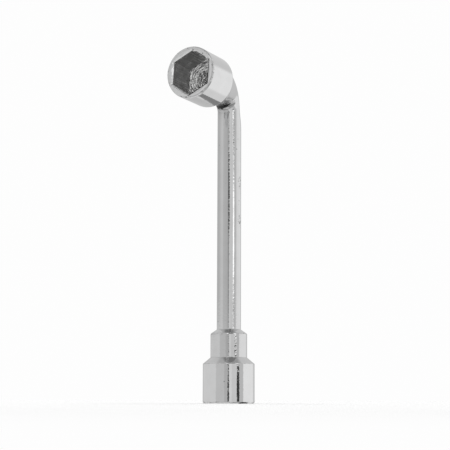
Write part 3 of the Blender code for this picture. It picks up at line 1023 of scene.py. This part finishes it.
def studio_tent():
    """Pale cloth walls, roof and ground round the wrench, which the metal mirrors.

    Softly edged patches lie on the cloth, among them a slot for the lens and a gap in the right wall.
    The camera sees an even background in its place."""
    world = bpy.data.worlds.new("studio_tent")
    bpy.context.scene.world = world
    world.use_nodes = True
    tree = world.node_tree
    tree.nodes.clear()
    inputs = {"Vector": add(tree, "ShaderNodeTexCoord").outputs["Generated"], "Angle": -CAMERA_AZIMUTH}
    toward = add(tree, "ShaderNodeVectorRotate", inputs, rotation_type='Z_AXIS').outputs["Vector"]
    split = add(tree, "ShaderNodeSeparateXYZ", {"Vector": toward}).outputs
    bearing = sums(tree, 'ARCTAN2', split["X"], product(tree, split["Y"], -1.0))
    height = sums(tree, 'ARCSINE', split["Z"])
    share = spread(tree, bearing, -math.pi, math.pi)
    low_walls = round_ramp(tree, share, TENT_WALLS_LOW)
    high_walls = round_ramp(tree, share, TENT_WALLS_HIGH)
    tent = blended(tree, risen(tree, height, WALL_CHANGE), low_walls, high_walls)
    tent = blended(tree, risen(tree, height, ROOF_EDGES, True), tent, round_ramp(tree, share, TENT_ROOF))
    tent = blended(tree, risen(tree, height, RING_EDGES, True), tent, round_ramp(tree, share, TENT_RING))
    tent = blended(tree, risen(tree, height, CROWN_EDGES, True), tent, grey(TENT_CROWN))
    tent = blended(tree, risen(tree, height, GROUND_EDGES, True), tent, grey(TENT_GROUND))
    tufts = add(tree, "ShaderNodeCombineXYZ", {
        "X": sums(tree, 'DIVIDE', bearing, math.radians(TUFT_WIDTH)),
        "Y": sums(tree, 'DIVIDE', height, math.radians(TUFT_HEIGHT)),
    }).outputs["Vector"]
    tufts = spread(tree, grain(tree, tufts, 1.0, 1.0), *TUFT_LIMITS)
    for dark, light, sides, heights in TENT_PATCHES:
        patch = product(tree, between(tree, bearing, sides), between(tree, height, heights))
        tent = blended(tree, patch, tent, blended(tree, tufts, grey(dark), grey(light)))
    seen = add(tree, "ShaderNodeLightPath").outputs["Is Camera Ray"]
    shown = blended(tree, seen, tent, grey(BACKDROP_LEVEL))
    light = add(tree, "ShaderNodeBackground", {"Color": shown, "Strength": 1.0})
    add(tree, "ShaderNodeOutputWorld", {"Surface": light.outputs["Background"]})


def soft_lamp():
    """A square lamp overhead that lights the floor and isn't mirrored in the metal."""
    lamp = bpy.data.lights.new("top_softbox", 'AREA')
    lamp.shape = 'SQUARE'
    lamp.size = LAMP_SIZE
    lamp.energy = LAMP_WATTS
    item = in_scene("top_softbox", lamp)
    item.location = LAMP_SPOT
    item.rotation_mode = 'QUATERNION'
    item.rotation_quaternion = (Vector(LAMP_AIM) - Vector(LAMP_SPOT)).to_track_quat('-Z', 'Y')
    item.visible_glossy = False


def photo_camera():
    """The camera where the photograph was taken from."""
    data = bpy.data.cameras.new("photo_camera")
    data.sensor_width = SENSOR_WIDTH
    data.lens = CAMERA_FOCAL_PIXELS * SENSOR_WIDTH / PHOTO_PIXELS
    data.clip_start = CAMERA_CLIP_START
    item = in_scene("photo_camera", data)
    spot = Vector((
        CAMERA_DISTANCE * math.sin(CAMERA_AZIMUTH),
        SHANK_LINE_Y - CAMERA_DISTANCE * math.cos(CAMERA_AZIMUTH),
        CAMERA_HEIGHT,
    ))
    heading = Matrix.Rotation(CAMERA_AZIMUTH - CAMERA_YAW, 4, 'Z')
    tilt = Matrix.Rotation(math.pi / 2 + CAMERA_PITCH, 4, 'X')
    roll = Matrix.Rotation(CAMERA_ROLL, 4, 'Z')
    item.matrix_world = Matrix.Translation(spot) @ heading @ tilt @ roll
    bpy.context.scene.camera = item


# The wrench

def shank_plate():
    """The shank's plate, with its two pitted patches."""
    weights = (1.0, 1.0, PITTED_FLATTENING)
    pitted = [((SHANK_RADIUS, SHANK_LINE_Y, height), weights) for height in PITTED_HEIGHTS]
    sizes = (SHANK_SHADE, POLISH_ALONG_Z, SHANK_WAVE_HEIGHT, SHANK_PEEL_HEIGHT)
    return chrome_plate("shank_plate", *sizes, pitted=pitted)


def long_end_plate():
    """The long end's plate, with its turning marks and a dark mark low on its rim."""
    turned = ((0.0, SHANK_LINE_Y, 0.0), (1.0, 1.0, 0.0))
    rim_spot = (
        SOCKET_RADIUS * math.sin(RIM_MARK_BEARING),
        SHANK_LINE_Y - SOCKET_RADIUS * math.cos(RIM_MARK_BEARING),
        RIM_MARK_HEIGHT,
    )
    rim_mark = (rim_spot, (1.0, 1.0, RIM_MARK_FLATTENING))
    sizes = (SOCKET_SHADE, POLISH_AROUND_Z, SOCKET_WAVE_HEIGHT, LONG_END_PEEL_HEIGHT)
    return chrome_plate("long_end_plate", *sizes, turned, rim_mark)


def angled_end_plate():
    """The angled end's plate, with its turning marks."""
    turned = ((0.0, 0.0, HEAD_LINE_Z), (1.0, 0.0, 1.0))
    sizes = (SOCKET_SHADE, POLISH_AROUND_Y, SOCKET_WAVE_HEIGHT, ANGLED_END_PEEL_HEIGHT)
    return chrome_plate("angled_end_plate", *sizes, turned)


def dress_wrench():
    """The shank, and at each end a socket, its weld and its floor."""
    long_place = Matrix.Translation((0, SHANK_LINE_Y, LONG_SOCKET_LOW.z))
    angled_place = Matrix.Translation((0, ANGLED_SOCKET_LOW.y, HEAD_LINE_Z))
    angled_place = angled_place @ Matrix.Rotation(-math.pi / 2, 4, 'X')
    angled_place = angled_place @ Matrix.Rotation(ANGLED_HEXAGON_TURN, 4, 'Z')
    long_plate = long_end_plate()
    angled_plate = angled_end_plate()
    long_wall = broached_steel("long_end_broached", (0, 0, 1))
    angled_wall = broached_steel("angled_end_broached", (0, 1, 0))
    floor_steel = torn_steel("faced_floor_steel")

    shank = bent_shank(shank_plate())
    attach(shank, "root")
    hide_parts("bent_shank")
    tree = floor_tree()
    ends = (
        ("long_end", long_place, LONG_SOCKET_LENGTH, LONG_END_FALL, long_plate, long_wall),
        ("angled_end", angled_place, ANGLED_SOCKET_LENGTH, ANGLED_END_FALL, angled_plate, angled_wall),
    )
    for end, place, length, fall, plate, wall in ends:
        body = socket_body(end + "_body", place, length, plate, wall)
        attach(body, "root")
        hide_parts(end + "_socket")
        band = weld_band(end + "_weld", place, length, fall, plate)
        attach(band, "root")
        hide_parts(end + "_weld_ring")
        floor = hexagon_floor(end + "_floor", place, length, floor_steel, tree)
        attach(floor, "root")
        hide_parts("bent_shank")


dress_wrench()
pale_floor()
studio_tent()
soft_lamp()
photo_camera()
bpy.context.scene.view_settings.view_transform = 'Standard'
